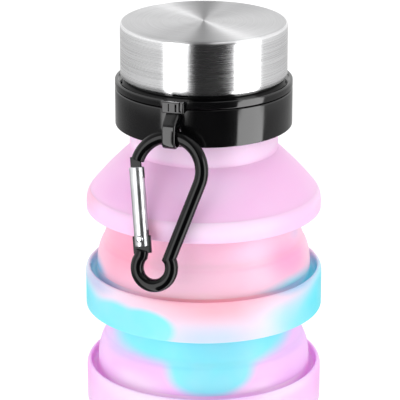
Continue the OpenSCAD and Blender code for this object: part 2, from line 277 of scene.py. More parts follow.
def cut(obj, tools, operation="DIFFERENCE"):
    """Cuts the tools from obj, or joins them to it, by exact booleans. The tools go."""
    for tool in tools:
        m = obj.modifiers.new("cut", "BOOLEAN")
        m.operation, m.solver, m.object = operation, "EXACT", tool
    bpy.context.view_layer.update()
    done = bpy.data.meshes.new_from_object(
        obj.evaluated_get(bpy.context.evaluated_depsgraph_get()))
    obj.modifiers.clear()
    obj.data = done
    for tool in tools:
        bpy.data.objects.remove(tool)
    # clean() stores the rest places of the new mesh
    for a in [x for x in obj.data.attributes if x.name == "rest"]:
        obj.data.attributes.remove(a)
    clean(obj, 35)
    return obj


# ---------------------------------------------------------------- node helpers
class Graph:
    """A material's nodes, with short calls for the ones used here."""

    def __init__(self, name):
        self.material = bpy.data.materials.new(name)
        self.material.use_nodes = True
        self.tree = self.material.node_tree
        self.tree.nodes.clear()
        self.out = self.new("ShaderNodeOutputMaterial")
        self.shader = self.new("ShaderNodeBsdfPrincipled")
        self.link(self.shader.outputs[0], self.out.inputs[0])

    def new(self, kind, **values):
        node = self.tree.nodes.new(kind)
        for k, v in values.items():
            setattr(node, k, v)
        return node

    def link(self, a, b):
        self.tree.links.new(a, b)

    def put(self, **values):
        """Sets or links sockets of the shader. Underscores stand for spaces."""
        for k, v in values.items():
            self.set(self.shader.inputs[k.replace("_", " ")], v)

    def set(self, socket, value):
        if isinstance(value, bpy.types.NodeSocket):
            self.link(value, socket)
        else:
            socket.default_value = value

    def math(self, op, a, b=0.0):
        n = self.new("ShaderNodeMath", operation=op)
        self.set(n.inputs[0], a)
        self.set(n.inputs[1], b)
        return n.outputs[0]

    def vec(self, op, a, b=(0, 0, 0), scale=None):
        n = self.new("ShaderNodeVectorMath", operation=op)
        self.set(n.inputs[0], a)
        if scale is None:
            self.set(n.inputs[1], b)
        else:
            self.set(n.inputs["Scale"], scale)
        return n.outputs["Value"] if op == "LENGTH" else n.outputs[0]

    def ramp(self, value, a0, a1, b0=0.0, b1=1.0):
        """Turns a0..a1 smoothly into b0..b1 and holds it beyond."""
        n = self.new("ShaderNodeMapRange", clamp=True, interpolation_type="SMOOTHSTEP")
        for s, v in zip(n.inputs[:5], (value, a0, a1, b0, b1)):
            self.set(s, v)
        return n.outputs[0]

    def split(self, vector):
        n = self.new("ShaderNodeSeparateXYZ")
        self.link(vector, n.inputs[0])
        return n.outputs

    def mix(self, factor, a, b):
        n = self.new("ShaderNodeMix", data_type="RGBA")
        self.set(n.inputs[0], factor)
        self.set(n.inputs[6], a)
        self.set(n.inputs[7], b)
        return n.outputs[2]

    def noise(self, vector, scale, detail, rough, output="Fac"):
        n = self.new("ShaderNodeTexNoise")
        self.link(vector, n.inputs["Vector"])
        n.inputs["Scale"].default_value = scale
        n.inputs["Detail"].default_value = detail
        n.inputs["Roughness"].default_value = rough
        return n.outputs[output]

    def bump(self, height, strength, distance):
        n = self.new("ShaderNodeBump")
        n.inputs["Strength"].default_value = strength
        n.inputs["Distance"].default_value = distance
        self.link(height, n.inputs["Height"])
        return n.outputs[0]

    def rest(self):
        """Where the point is when the bottle stands open, in metres."""
        n = self.new("ShaderNodeAttribute", attribute_type="GEOMETRY", attribute_name="rest")
        return n.outputs["Vector"]

    def object_place(self):
        return self.new("ShaderNodeTexCoord").outputs["Object"]


def srgb(r, g, b):
    """A colour given as it looks on a screen, 0 to 255, as a linear RGBA value."""
    f = [c / 255 for c in (r, g, b)]
    return tuple(c / 12.92 if c <= 0.04045 else ((c + 0.055) / 1.055) ** 2.4 for c in f) + (1.0,)


def paint(obj, graph):
    """Gives an object one material."""
    obj.data.materials.clear()
    obj.data.materials.append(graph.material)


def rigid(obj, graph, node, body):
    """Paints a rigid piece, which stands for a CAD node and rides on a body."""
    paint(obj, graph)
    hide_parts(node)
    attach(obj, body)


# ---------------------------------------------------------------- silicone material
PATCH_R = 36.0  # the patches of dye, and a few of painted light and painted shade, are centred this far from the bottle's axis
WARP = 3.0  # how far the clouds of noise push a patch's edge
SEAM_BELOW, SEAM_ABOVE = 0.3, 0.1  # one zone turns into the next over this height


def patches(g, place, zone):
    """Colour of one zone: its base with soft patches over it. A patch is
    (colour, angle, height, half width, half height, softness from 0 to 1, strength)."""
    base, blobs = zone
    colour = srgb(*base)
    for tint, angle, height, w, h, soft, strength in blobs:
        a = math.radians(angle)
        centre = (PATCH_R * MM * math.sin(a), -PATCH_R * MM * math.cos(a), height * MM)
        off = g.vec("MULTIPLY", g.vec("SUBTRACT", place, centre),
                    (1 / (w * MM), 1 / (w * MM), 1 / (h * MM)))
        f = g.ramp(g.vec("LENGTH", off), 1.0 - soft, 1.0, strength, 0.0)
        colour = g.mix(f, colour, srgb(*tint))
    return colour


def silicone(name, zone, under=None, split=0.0):
    """Marbled silicone in one zone's colours, with the zone under it below the height split."""
    g = Graph(name)
    place = g.rest()
    cloud = g.noise(place, 28.0, 2.0, 0.5, "Color")
    push = g.vec("SCALE", g.vec("SUBTRACT", cloud, (0.5, 0.5, 0.5)), scale=2 * WARP * MM)
    pushed = g.vec("ADD", place, push)
    colour = patches(g, pushed, zone)
    if under:
        height = g.split(place)[2]
        side = g.ramp(height, (split - SEAM_BELOW) * MM, (split + SEAM_ABOVE) * MM)
        colour = g.mix(side, patches(g, pushed, under), colour)
    # slow drift of the dye, so that no area is one flat colour
    drift = g.noise(place, 46.0, 3.0, 0.55)
    colour = g.mix(g.ramp(drift, 0.35, 0.75, 0.0, 0.14), colour, srgb(255, 224, 248))
    # satin surface with a faint moulded grain
    grain = g.noise(place, 2600.0, 2.0, 0.6)
    waves = g.noise(place, 120.0, 2.0, 0.5)
    relief = g.math("ADD", g.math("MULTIPLY", grain, 0.35), waves)
    g.put(Base_Color=colour, Roughness=g.ramp(waves, 0.3, 0.7, 0.36, 0.44),
          Normal=g.bump(relief, 0.25, 0.00008), IOR=1.41, Specular_IOR_Level=0.5,
          Subsurface_Weight=0.25, Subsurface_Scale=0.003, Subsurface_Radius=(1.0, 0.5, 0.7))
    return g


# ---------------------------------------------------------------- silicone shapes
def steps(r, z, offsets):
    """Points at the (across, up) offsets from radius r and height z."""
    return [(r + across, z + up) for across, up in offsets]


def rim_outer(z):
    """Up the ring's wall, over its lip, through the groove and up to the seam at height z."""
    lip = RING_R - LIP_OUT[0]
    return ([(RING_R, z - 3.0)]
            + oval((lip, z - LIP_OUT[1]), *LIP_OUT, 0, 90, 10)
            + oval((lip, z - LIP_IN[1]), *LIP_IN, 90, 180, 10)[1:]
            + [(DOME_R + 2 * GROOVE_R, z - 1.3)]
            + arc((DOME_R + GROOVE_R, z - GROOVE_DEPTH + GROOVE_R), GROOVE_R, 0, -180, 12)
            + [(DOME_R, z - 1.0), (DOME_R, z)])


def rim_inner(z):
    """From the seam at height z down the inside, under the groove, to the ring's wall."""
    under = z - GROOVE_DEPTH
    return (steps(DOME_R - FOLD_WALL, under, [(0, GROOVE_DEPTH), (0, -0.4), (0.4, -1.2)])
            + steps(RING_R - WALL, under, [(-0.4, -2.6), (0, -3.4)]))


def ring_foot(r, z):
    """The outer lower edge of a ring of radius r that starts at height z."""
    return arc((r - EDGE, z + EDGE), EDGE, -90, 0, 5)


def web_corner(r, z):
    """The corner inside a ring of radius r, between its wall and its web."""
    return arc((r - WALL - INNER_R, z + WEB + INNER_R), INNER_R, 0, -90, 4)


def stiff_outer(z):
    """From the crease up to the waist and out along the underside of the ring at height z."""
    crease = z - WAIST_H + CREASE_H
    waist = (steps(STIFF_R, crease, [(0.15, 0), (-0.08, 0.7)]) + [(STIFF_R - 0.6, z - 7.6)]
             + steps(WAIST_R, z, [(0.5, -4.8), (0, -2.4)]))
    under_r = 1.5
    return (spline(waist)
            + arc((WAIST_R + under_r, z - under_r), under_r, 180, 90, 7)
            + [(RING_R - 1.0, z)])


def stiff_inner(z):
    """From the ring's web down the inside of the waist to the crease."""
    waist = steps(WAIST_R, z, [(-1.0, WEB - 0.6), (-1.3, -0.5), (-0.9, -4.8), (-0.1, -7.6)])
    return ([(WAIST_R + 0.9, z + WEB)]
            + spline(waist + [(STIFF_R - 1.4, z - WAIST_H + CREASE_H)], 4))


def band(name, z):
    """One flat-sided ring with the stiff half of the dome under it."""
    outer = ring_foot(RING_R, z) + rim_outer(z + BAND_H)
    inner = rim_inner(z + BAND_H) + web_corner(RING_R, z) + stiff_inner(z)
    return lathe(name, stiff_outer(z) + outer + inner)


def thin_half(name, z):
    """The thin half of a dome, from the groove at height z up to the crease."""
    top = z + CREASE_H
    outer = (steps(DOME_R, z, [(0, 0), (-0.15, 3.0), (-0.6, 5.5), (-1.35, 7.7)])
             + [(STIFF_R + 0.5, z + 8.8), (STIFF_R + 0.15, top)])
    inner = ([(STIFF_R - 1.05, top)]
             + steps(DOME_R - FOLD_WALL, z, [(-1.5, 8.2), (-0.45, 5.0), (-0.1, 2.5), (0, 0)]))
    return lathe(name, spline(outer) + spline(inner, 5))


def base_cup():
    """The lowest ring with its floor, which has a shallow round groove underneath."""
    groove = [(r, z) for r, z in arc((26.0, 0.0), 0.8, 180, 0) if z >= 0]
    floor_t, corner_r = 3.0, 3.0
    wall_foot = floor_t + corner_r
    profile = ([(0, 0)] + groove
               + arc((RING_R - FOOT_R, FOOT_R), FOOT_R, -90, 0, 10)
               + rim_outer(BASE_H) + rim_inner(BASE_H) + [(RING_R - WALL, wall_foot)]
               + arc((RING_R - WALL - corner_r, wall_foot), corner_r, 0, -90, 6)
               + [(0, floor_t)])
    return lathe("base_cup_skin", profile)


# where the shoulder ring's bulge ends and the cone starts, and where the cone ends
CONE_FOOT = (36.12, CONE_Z)
CONE_HEAD = (NECK_R, NECK_Z)


def shoulder_ring():
    """The shoulder's bulge with the stiff half of the top dome under it."""
    z = SHOULDER_Z
    # the bulge leaves the wall upright and ends along the cone's slope
    bulge = curve((SHOULDER_R, z + 1.4), (SHOULDER_R, z + 3.6),
                  (CONE_FOOT[0] + 1.15, CONE_Z - 1.41), CONE_FOOT, 14)
    wall = steps(SHOULDER_R - WALL, CONE_Z, [(-0.6, 0), (0, -1.5)])
    return lathe("shoulder_ring_skin", stiff_outer(z) + ring_foot(SHOULDER_R, z) + bulge
                 + wall + web_corner(SHOULDER_R, z) + stiff_inner(z))


def shoulder_cone():
    """The cone from the shoulder's bulge up to the neck."""
    outer = [CONE_FOOT, (34.2, CONE_Z + 2.35), (30.4, CONE_Z + 6.6), (26.4, CONE_Z + 10.6),
             (24.35, CONE_Z + 12.5), CONE_HEAD]
    inner = [(NECK_R - 1.9, NECK_Z), (NECK_R - 1.6, NECK_Z - 1.4), (28.4, CONE_Z + 6.6),
             (34.6, CONE_Z)]
    return lathe("shoulder_cone_skin", spline(outer) + spline(inner))


def neck_sleeve():
    """The silicone neck, which runs up inside the collar round the spout."""
    top, bore = COLLAR_TOP - 2.4, INSERT_R + 0.1
    return lathe("neck_sleeve_skin", [
        (NECK_R, NECK_Z), (NECK_R, NECK_Z + 2), (NECK_R, COLLAR_Z + 1), (NECK_R, top),
        (bore, top), (bore, NECK_Z)])


# ---------------------------------------------------------------- colours of the silicone
# the dyes, and then each zone as (base colour, patches); a few patches are painted light or painted shade,
# as marked
PALE = (254, 222, 249)
ORCHID = (240, 178, 228)
MAGENTA = (240, 160, 226)
CORAL = (254, 163, 188)
ROSE = (254, 186, 202)
LILAC = (214, 204, 240)
SKY = (132, 231, 247)
CYAN = (88, 228, 244)
DEEP = (70, 186, 224)

neck_zone = ((252, 195, 238), [
    # partly the neck's paler dye, partly painted light: brightening over the front and left where the
    # carabiner's shadow falls
    (PALE, 0, 165, 60, 7, 0.3, 0.8),
    (ORCHID, -52, 151, 18, 7, 0.9, 0.5),
    # painted light: a pale patch at the cone's front that lifts the shade under the collar and carabiner
    ((255, 212, 248), 4, 155, 20, 9, 0.8, 1.0),
    (SKY, 180, 152, 34, 16, 0.9, 0.8),
])
shoulder_zone = ((253, 205, 242), [
    ((254, 186, 216), -80, 144.5, 15, 6, 0.9, 1.0),
    # painted light: a pale patch on the bulge's front that lifts the shade under the carabiner
    ((255, 222, 250), 8, 142.5, 26, 5, 0.8, 1.0),
    # painted shadow: the carabiner's shadow on the bulge, painted as a dark coral patch
    ((240, 168, 196), -27, 141.5, 7, 6, 0.9, 0.8),
    (LILAC, 150, 146, 30, 10, 0.9, 0.8),
    (SKY, -150, 142, 26, 10, 0.9, 0.8),
])
dome1_zone = ((254, 200, 222), [
    (CORAL, -56, 130, 25, 13, 0.8, 1.0),
    ((253, 220, 242), 30, 133, 15, 6, 0.9, 0.8),
    ((255, 158, 202), 58, 127, 17, 9, 0.9, 1.0),
    ((196, 196, 234), 70, 134, 9, 5, 0.8, 1.0),
    # painted light: pale rose at the front just over the groove, lifting the shade in it
    ((255, 216, 228), 0, 118.5, 30, 4, 0.9, 0.9),
    (SKY, 56, 118.5, 20, 4.5, 0.8, 0.9),
    (DEEP, -80, 119, 13, 5.5, 0.8, 0.9),
    (SKY, 180, 128, 36, 14, 0.8, 0.9),
])
band1_zone = ((238, 220, 238), [
    (ROSE, 4, 119.5, 38, 10, 0.8, 1.0),
    ((184, 196, 226), -66, 118.6, 15, 4.5, 0.9, 1.0),
    ((200, 222, 248), 42, 113, 11, 6, 0.9, 0.8),
    ((200, 222, 243), 3, 106.5, 25, 7, 0.9, 0.9),
    (SKY, -29, 109.5, 12, 6.6, 0.3, 1.0),
    (SKY, -48, 109.5, 14, 7.2, 0.4, 1.0),
    (SKY, -75, 109.5, 22, 9, 0.6, 1.0),
    (SKY, 74, 108, 34, 14, 0.6, 1.0),
    (CYAN, 84, 111, 24, 12, 0.7, 1.0),
    (CYAN, -92, 112, 20, 10, 0.8, 1.0),
    # partly blue dye, partly painted shade: a darker blue at the right lip where the groove is in shadow
    ((140, 200, 232), 56, 120.4, 19, 3.4, 0.8, 1.0),
    (CYAN, 180, 112, 48, 20, 0.6, 1.0),
])
dome2_zone = ((250, 192, 250), [
    ((206, 206, 252), -56, 99, 17, 6, 0.9, 0.9),
    (SKY, -1, 103, 43, 9, 0.35, 1.0),
    (SKY, 3, 96.5, 18, 10.5, 0.3, 1.0),
    (PALE, -38, 88, 16, 6, 0.9, 0.9),
    (PALE, 28, 87.5, 13, 5, 0.9, 0.9),
    (SKY, 170, 96, 30, 14, 0.8, 0.9),
])
band2_zone = ((250, 202, 246), [
    # partly magenta dye, partly painted shade on the inside of the lip at the left
    ((250, 178, 240), -82, 85, 15, 9, 0.9, 0.8),
    ((252, 182, 244), 80, 84, 16, 9, 0.9, 0.8),
    (PALE, -30, 86, 26, 8, 0.9, 1.0),
    (PALE, 46, 87, 16, 4, 0.9, 0.9),
    (SKY, -8, 76, 22, 7, 0.9, 0.7),
    (ORCHID, 180, 80, 34, 12, 0.9, 0.8),
])
dome3_zone = ((252, 198, 232), [
    (CORAL, 40, 68, 26, 10, 0.8, 0.9),
    (SKY, -30, 66, 26, 9, 0.7, 0.9),
    (PALE, 0, 58, 24, 6, 0.9, 0.7),
    (SKY, 170, 64, 30, 14, 0.8, 0.9),
])
band3_zone = ((246, 206, 242), [
    (ROSE, -40, 50, 26, 10, 0.9, 0.9),
    (SKY, 45, 46, 26, 8, 0.7, 1.0),
    (MAGENTA, 115, 48, 26, 9, 0.9, 0.7),
    (CYAN, -130, 47, 30, 10, 0.8, 0.9),
])
low_zone = ((249, 198, 240), [
    (SKY, 8, 33, 28, 8, 0.6, 1.0),
    (CORAL, -62, 32, 20, 10, 0.9, 0.8),
    (ORCHID, 0, 20, 30, 6, 0.9, 0.6),
    (ROSE, 48, 12, 28, 9, 0.9, 0.9),
    (SKY, -40, 7, 28, 8, 0.7, 0.9),
    (CYAN, 170, 20, 36, 18, 0.8, 0.9),
])

neck_look = silicone("silicone_neck", neck_zone)
shoulder_look = silicone("silicone_shoulder", shoulder_zone, dome1_zone, SHOULDER_Z)
dome1_look = silicone("silicone_coral", dome1_zone)
band1_look = silicone("silicone_blue", band1_zone, dome2_zone, UPPER_Z)
dome2_look = silicone("silicone_cyan", dome2_zone)
band2_look = silicone("silicone_pink", band2_zone, dome3_zone, MIDDLE_Z)
dome3_look = silicone("silicone_rose", dome3_zone)
band3_look = silicone("silicone_sky", band3_zone, low_zone, LOWER_Z)
low_look = silicone("silicone_low", low_zone)


def bending(obj, graph, node, below, above, z0, z1):
    """Paints a piece that folds: it turns from the body below to the body above."""
    paint(obj, graph)
    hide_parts(node)
    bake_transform(obj, below, above, (0, 0, z0 * MM), (0, 0, z1 * MM))


rigid(base_cup(), low_look, "base_cup", "base")
for node, z, look, slot, below, above in (
        ("lower_fold_wall", BASE_H, low_look, "silicone", "base", "lower_ring"),
        ("middle_fold_wall", LOWER_Z + BAND_H, dome3_look, "silicone", "lower_ring",
         "middle_ring"),
        ("upper_fold_wall", MIDDLE_Z + BAND_H, dome2_look, "silicone", "middle_ring",
         "upper_ring"),
        ("top_fold_wall", UPPER_Z + BAND_H, dome1_look, "silicone_coral", "upper_ring",
         "shoulder")):
    bending(thin_half(node + "_skin", z), look, node, below, above, z, z + CREASE_H)
for node, z, look, slot, body in (
        ("lower_band", LOWER_Z, band3_look, "silicone", "lower_ring"),
        ("middle_band", MIDDLE_Z, band2_look, "silicone", "middle_ring"),
        ("upper_band", UPPER_Z, band1_look, "silicone_blue", "upper_ring")):
    rigid(band(node + "_skin", z), look, node, body)
rigid(shoulder_ring(), shoulder_look, "shoulder_ring", "shoulder")
bending(shoulder_cone(), neck_look, "shoulder_cone", "shoulder", "neck",
        CONE_Z, NECK_Z)
rigid(neck_sleeve(), neck_look, "neck_sleeve", "neck")


# ---------------------------------------------------------------- black plastic
def gloss_black(name, tone=(7, 7, 8), rough=(0.07, 0.13), gloss=0.5):
    """Polished black with faint handling smears and fine specks in it."""
    g = Graph(name)
    place = g.object_place()
    smear = g.noise(place, 90.0, 3.0, 0.6)
    speck = g.noise(place, 900.0, 2.0, 0.5)
    relief = g.math("ADD", g.math("MULTIPLY", speck, 0.2), smear)
    g.put(Base_Color=g.mix(g.ramp(smear, 0.3, 0.7, 0.0, 0.5), srgb(*tone),
                           srgb(*(c + 6 for c in tone))),
          Roughness=g.ramp(smear, 0.3, 0.75, *rough), Normal=g.bump(relief, 0.05, 0.00005),
          IOR=1.5, Specular_IOR_Level=gloss)
    return g


black_plastic = gloss_black("black_plastic")
black_inner = gloss_black("black_inner", rough=(0.25, 0.35))
black_metal = gloss_black("black_coated_metal", (5, 5, 6), (0.06, 0.11), 0.2)


def collar_ring():
    """The collar's turned part: a band round the neck with a flange over the spout."""
    band_bore, flange_bore = NECK_R + 0.06, INSERT_R + 0.3
    return lathe("collar_ring", rounded([
        (band_bore, COLLAR_Z, 0.15), (COLLAR_R, COLLAR_Z, 0.3), (COLLAR_R, COLLAR_TOP, 0.45),
        (flange_bore, COLLAR_TOP, 0.1), (flange_bore, COLLAR_TOP - COLLAR_T),
        (band_bore, COLLAR_TOP - COLLAR_T)]), sharp=50)


AT_LUG = Matrix.Rotation(math.radians(-LUG_ANGLE), 4, "Z")


def outline_reach(outline, centre, way):
    """How far it is from the centre to the closed outline in the direction given."""
    far = 0
    for p, q in zip(outline, outline[1:] + outline[:1]):
        p, q = np.array(p) - centre, np.array(q) - centre
        m = np.array([way, p - q]).T
        if abs(np.linalg.det(m)) < 1e-9:
            continue
        t, along = np.linalg.solve(m, p)
        if t > 0 and -1e-9 <= along <= 1 + 1e-9:
            far = max(far, t)
    return far


def lug_strap():
    """The strap with its eye: strips from the eye out to the outline, in the radial plane."""
    root, foot = COLLAR_R - 0.9, LUG_TOP - LUG_H
    outline = rounded([
        (root, LUG_TOP, 0), (TAB_REACH - 0.4, LUG_TOP, 1.6), (LUG_REACH, LUG_TOP - 3.1, 2.6),
        (LUG_REACH, foot, 3.0), (root, foot, 0)], n=10)
    centre = np.array((EYE_PLACE, EYE_Z))
    edge, half, strips = 0.5, LUG_W / 2, 112
    verts = []
    for k in range(strips):
        a = 2 * math.pi * k / strips
        way = np.array((math.cos(a), math.sin(a)))
        far = outline_reach(outline, centre, way)
        # across the strap's face from the eye to the outline, with rounded edges
        face = [(EYE_R, half - edge), (EYE_R + 0.15 * edge, half - 0.5 * edge),
                (EYE_R + 0.5 * edge, half - 0.15 * edge), (EYE_R + edge, half),
                (far - edge, half), (far - 0.5 * edge, half - 0.13 * edge),
                (far - 0.13 * edge, half - 0.5 * edge), (far, half - edge)]
        for t, x in face + [(t, -x) for t, x in face[::-1]]:
            rho, z = centre + way * t
            verts.append((x, -rho, z))
    row = len(verts) // strips
    faces = [(i * row + k, i * row + (k + 1) % row,
              (i + 1) % strips * row + (k + 1) % row, (i + 1) % strips * row + k)
             for i in range(strips) for k in range(row)]
    return finish_mesh("lug_strap", verts, faces, 50, AT_LUG)


def collar():
    """The collar with its strap and the tab over it, as one piece."""
    ring = collar_ring()
    strap = lug_strap()
    tab = block("lug_tab", (-TAB_W / 2, -TAB_REACH, TAB_BASE),
                (TAB_W / 2, -(COLLAR_R + TAB_GAP), TAB_TOP), 0.3, AT_LUG)
    cut(tab, [block(f"lug_slot_{i}", (left, -TAB_REACH - 1, TAB_BASE + TAB_FOOT),
                    (right, -TAB_REACH + TAB_DEEP, TAB_TOP - above), 0.08, AT_LUG)
              for i, (left, right, above) in enumerate(TAB_SLOTS)])
    return cut(ring, [strap, tab], "UNION")


collar_obj = collar()
collar_obj.name = "collar_with_lug"
rigid(collar_obj, black_plastic, "collar", "neck")


def liner():
    """The cap's black liner. Its flange shows, with a sunk step under the steel."""
    step_z, skirt_r, roof_z, seal_z = FLANGE_TOP - 0.3, CAP_R - 0.75, CAP_TOP - 0.8, CAP_TOP - 2.6
    return lathe("cap_flange", rounded([
        (NUT_BORE, FLANGE_Z), (COLLAR_R, FLANGE_Z, 0.3), (COLLAR_R, FLANGE_TOP, 0.4),
        (CAP_R + 0.65, FLANGE_TOP, 0.1), (CAP_R + 0.35, step_z, 0.1), (skirt_r, step_z),
        (skirt_r, CAP_TOP - 1.9, 0.6), (CAP_R - 1.8, roof_z), (0, roof_z),
        (0, seal_z), (NUT_BORE, seal_z)]), sharp=45)


rigid(liner(), black_plastic, "cap_liner", "cap")


# ---------------------------------------------------------------- steel cap
def brushed_steel(name, tone, rough, spun):
    """Steel brushed round the axis. The streaks are long round Z and fine across it:
    across the radius on a spun face, and up the height on a turned wall."""
    g = Graph(name)
    place = g.object_place()
    x, y, z = g.split(place)
    radius = g.math("SQRT", g.math("ADD", g.math("MULTIPLY", x, x), g.math("MULTIPLY", y, y)))
    line = g.new("ShaderNodeCombineXYZ")
    g.link(g.math("MULTIPLY", g.math("DIVIDE", x, radius), 0.9), line.inputs[0])
    g.link(g.math("MULTIPLY", g.math("DIVIDE", y, radius), 0.9), line.inputs[1])
    g.link(g.math("MULTIPLY", radius if spun else z, 4200.0), line.inputs[2])
    streak = g.noise(line.outputs[0], 1.0, 4.0, 0.65)
    broad = g.noise(place, 60.0, 2.0, 0.5)
    tangent = g.new("ShaderNodeTangent", direction_type="RADIAL", axis="Z")
    g.put(Base_Color=g.mix(g.ramp(streak, 0.3, 0.7), srgb(*(c * 0.92 for c in tone)),
                           srgb(*tone)),
          Roughness=g.math("ADD", g.ramp(streak, 0.25, 0.75, rough - 0.03, rough + 0.03),
                           g.ramp(broad, 0.3, 0.7, -0.015, 0.015)),
          Normal=g.bump(streak, 0.05, 0.00002), Tangent=tangent.outputs[0],
          Metallic=1.0, Anisotropic=0.95, Anisotropic_Rotation=0.25)
    return g


steel_side = brushed_steel("steel_side", (228, 228, 229), 0.27, False)
steel_top = brushed_steel("steel_top", (212, 212, 213), 0.44, True)


def steel_cap():
    """The cap's steel skin, with its own brushing on top."""
    corner = (CAP_R - CAP_EDGE, CAP_TOP - CAP_EDGE)
    cap = lathe("steel_cap", (
        [(CAP_R - CAP_SHEET, CAP_Z + 0.1), (CAP_R - 0.4, CAP_Z), (CAP_R - 0.1, CAP_Z),
         (CAP_R, CAP_Z + 0.12), (CAP_R, CAP_Z + 1.5), (CAP_R, CAP_TOP - 4)]
        + arc(corner, CAP_EDGE, 0, 90)
        + [(r, CAP_TOP) for r in (CAP_R - 3, CAP_R - 8, 10, 3, 0)]
        + [(0, CAP_TOP - CAP_SHEET)]
        + arc(corner, CAP_EDGE - CAP_SHEET, 90, 0, 5)), seg=192)
    rigid(cap, steel_side, "cap_shell", "cap")
    cap.data.materials.append(steel_top.material)
    top_z, top_r = (CAP_TOP - 0.35) * MM, (CAP_R - 0.6) * MM
    for poly in cap.data.polygons:
        c = poly.center
        if c.z > top_z and math.hypot(c.x, c.y) < top_r:
            poly.material_index = 1


steel_cap()

# ---------------------------------------------------------------- carabiner
HUNG = (AT_LUG @ Matrix.Translation((0, -EYE_PLACE, EYE_Z))
        @ Matrix.Rotation(math.radians(-LEAN), 4, "X"))
ALONG = HUNG @ Matrix.Translation((PIVOT[0], 0, PIVOT[1])) @ Matrix.Rotation(
    math.radians(-GATE_ANGLE), 4, "Y")


def rod_along(name, path, ends):
    """A rod of round section along a path in the XZ plane, mitred at its kinks.
    ends lists the rings that close either end: (share of the radius, step outward)."""
    p = [np.array(q, float) for q in path]
    last = len(p) - 1
    rings = []
    for i in range(last + 1):
        a = p[i] - p[i - 1] if i else p[1] - p[0]
        b = p[i + 1] - p[i] if i < last else p[-1] - p[-2]
        a, b = a / np.linalg.norm(a), b / np.linalg.norm(b)
        way = (a + b) / np.linalg.norm(a + b)
        # a mitred ring is longer across its kink, up to a limit
        rings.append((p[i], way, ROD_R, 1 / max(0.6, float(way @ a))))
    low_way, high_way = rings[0][1], rings[-1][1]
    rings = ([(p[0] - low_way * out, low_way, ROD_R * share, 1) for share, out in ends[::-1]]
             + rings
             + [(p[-1] + high_way * out, high_way, ROD_R * share, 1) for share, out in ends])
    verts, faces = [], []
    for c, way, r, stretch in rings:
        side = np.array((-way[1], way[0]))
        for k in range(ROD_SIDES):
            a = 2 * math.pi * k / ROD_SIDES
            q = c + side * r * stretch * math.cos(a)
            verts.append((q[0], r * math.sin(a), q[1]))
    around = [(k, (k + 1) % ROD_SIDES) for k in range(ROD_SIDES)]
    for i in range(len(rings) - 1):
        low, high = i * ROD_SIDES, (i + 1) * ROD_SIDES
        faces += [(low + k, low + j, high + j, high + k) for k, j in around]
    for i in (0, len(rings) - 1):
        c = rings[i][0]
        verts.append((c[0], 0.0, c[1]))
        faces += [(i * ROD_SIDES + k, i * ROD_SIDES + j, len(verts) - 1) for k, j in around]
    return finish_mesh(name, verts, faces, 50, HUNG)


def carabiner():
    """The carabiner's body: one bent rod with a flat tang and tongue for its gate."""
    top_c = (0.0, -TOP_BEND)
    hook_c = (-1.85, -TOP_BEND - BEND_GAP)
    top = arc(top_c, TOP_BEND, NOSE_ANGLE, -SPINE_ANGLE, 46)
    lean = math.radians(SPINE_ANGLE)
    spine = [(top[-1][0] - SPINE_RUN * k / 6 * math.sin(lean),
              top[-1][1] - SPINE_RUN * k / 6 * math.cos(lean)) for k in range(1, 7)]
    # the hook meets the spine and the gate's foot at small kinks
    hook = arc(hook_c, HOOK_BEND, HOOK_START, HOOK_END, 60)
    gate_foot = (PIVOT[0] + 0.5, PIVOT[1] - 3.55)
    rod = rod_along("carabiner_rod", top + spine + hook[1:] + [gate_foot],
                    [(0.97, 0.12), (0.86, 0.25), (0.72, 0.3)])
    tang = block("carabiner_tang", (-TANG_W / 2, -TANG_T / 2, -TANG_DOWN),
                 (TANG_W / 2, TANG_T / 2, TANG_UP), 0.2, ALONG)
    tongue = block("carabiner_tongue", (TONGUE_LEFT, -TONGUE_T / 2, GATE_UP - TONGUE_HALF),
                   (TONGUE_RIGHT, TONGUE_T / 2, GATE_UP + TONGUE_HALF), 0.15, ALONG)
    return cut(rod, [tang, tongue], "UNION")


body = carabiner()
body.name = "carabiner_frame"
rigid(body, black_metal, "carabiner_body", "carabiner")


def metal(name, tone, rough, grain):
    """Plain metal with broad cloudy wear and a fine grain."""
    g = Graph(name)
    place = g.object_place()
    fine = g.noise(place, 1500.0, 3.0, 0.6)
    broad = g.noise(place, 220.0, 2.0, 0.5)
    g.put(Base_Color=g.mix(g.ramp(broad, 0.3, 0.7), srgb(*(c * 0.93 for c in tone)),
                           srgb(*tone)),
          Roughness=g.ramp(broad, 0.3, 0.7, rough - 0.03, rough + 0.04),
          Normal=g.bump(fine, grain, 0.00003), Metallic=1.0)
    return g


gate_metal = metal("gate_metal", (196, 197, 199), 0.33, 0.08)
rivet_metal = metal("rivet_metal", (200, 200, 204), 0.25, 0.1)
wire_metal = metal("spring_wire", (180, 180, 184), 0.25, 0.1)


def gate():
    """The gate's tube with a slot round the tang and one round the tongue."""
    tube = lathe("gate_tube", rounded([
        (0, -GATE_DOWN), (GATE_R, -GATE_DOWN, 0.5), (GATE_R, GATE_UP, 0.45), (0, GATE_UP)]),
        seg=64, matrix=ALONG)
    tang_slot = block("gate_slot", (-THROUGH, -TANG_SLOT_T / 2, -GATE_DOWN - 1),
                      (THROUGH, TANG_SLOT_T / 2, TANG_SLOT_UP), 0.1, ALONG)
    tongue_slot = block("gate_top_slot",
                        (-THROUGH, -TONGUE_SLOT_T / 2, GATE_UP - TONGUE_HALF - 0.4),
                        (THROUGH, TONGUE_SLOT_T / 2, GATE_UP + 1.5), 0.1, ALONG)
    return cut(tube, [tang_slot, tongue_slot])


def rivet():
    """The pin through the gate and the tang, with a domed head on either side."""
    half = [(PIVOT_R, GATE_R + 0.04), (RIVET_R, GATE_R + 0.04, 0.15), (0.7, 2.7, 0.3), (0, 2.72)]
    across = ALONG @ Matrix.Rotation(math.radians(90), 4, "X")
    lower = [(r, -z, *rounding) for r, z, *rounding in half[::-1]]
    return lathe("gate_rivet", rounded(lower + half), seg=40, matrix=across)


rigid(gate(), gate_metal, "carabiner_gate", "gate")
rigid(rivet(), rivet_metal, "gate_pivot", "carabiner")


